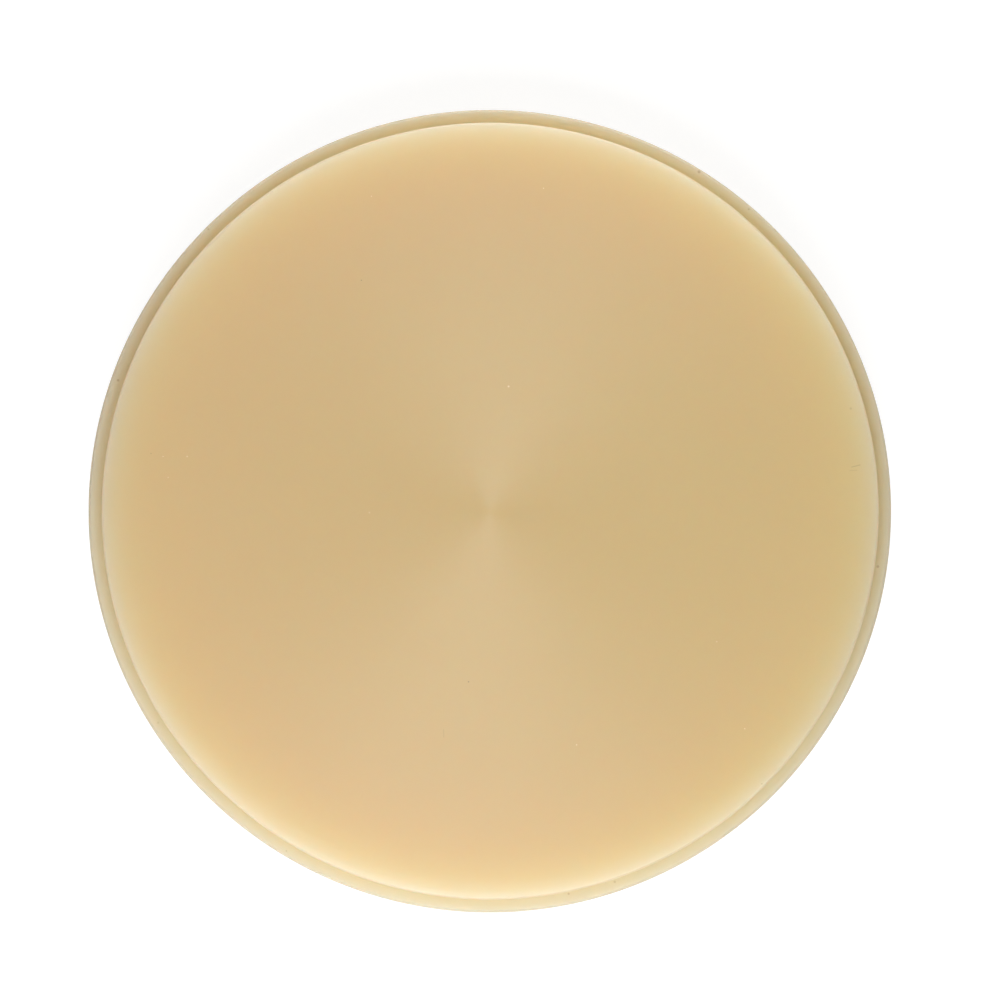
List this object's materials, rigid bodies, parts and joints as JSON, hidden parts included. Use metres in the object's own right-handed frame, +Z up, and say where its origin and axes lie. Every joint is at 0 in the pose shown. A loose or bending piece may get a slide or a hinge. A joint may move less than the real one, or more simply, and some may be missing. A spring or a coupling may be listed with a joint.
{
  "type": "dental milling disc",
  "caption": "Solid stepped round blank of translucent tooth-coloured acrylic, with a clamping collar half way up, from which a dental mill cuts restorations.",
  "frame": {"origin": "centre of the flat lower face, which the disc rests on", "axes": "+Z up the turning axis, from the lower face to the upper face; X and Y are any two radii, because the disc is round"},
  "size_m": [0.0984, 0.0984, 0.02],
  "materials": {
    "tooth_acrylic": "satin"
  },
  "bodies": {
    "root": {"milling_disc": "tooth_acrylic"}
  },
  "joints": []
}
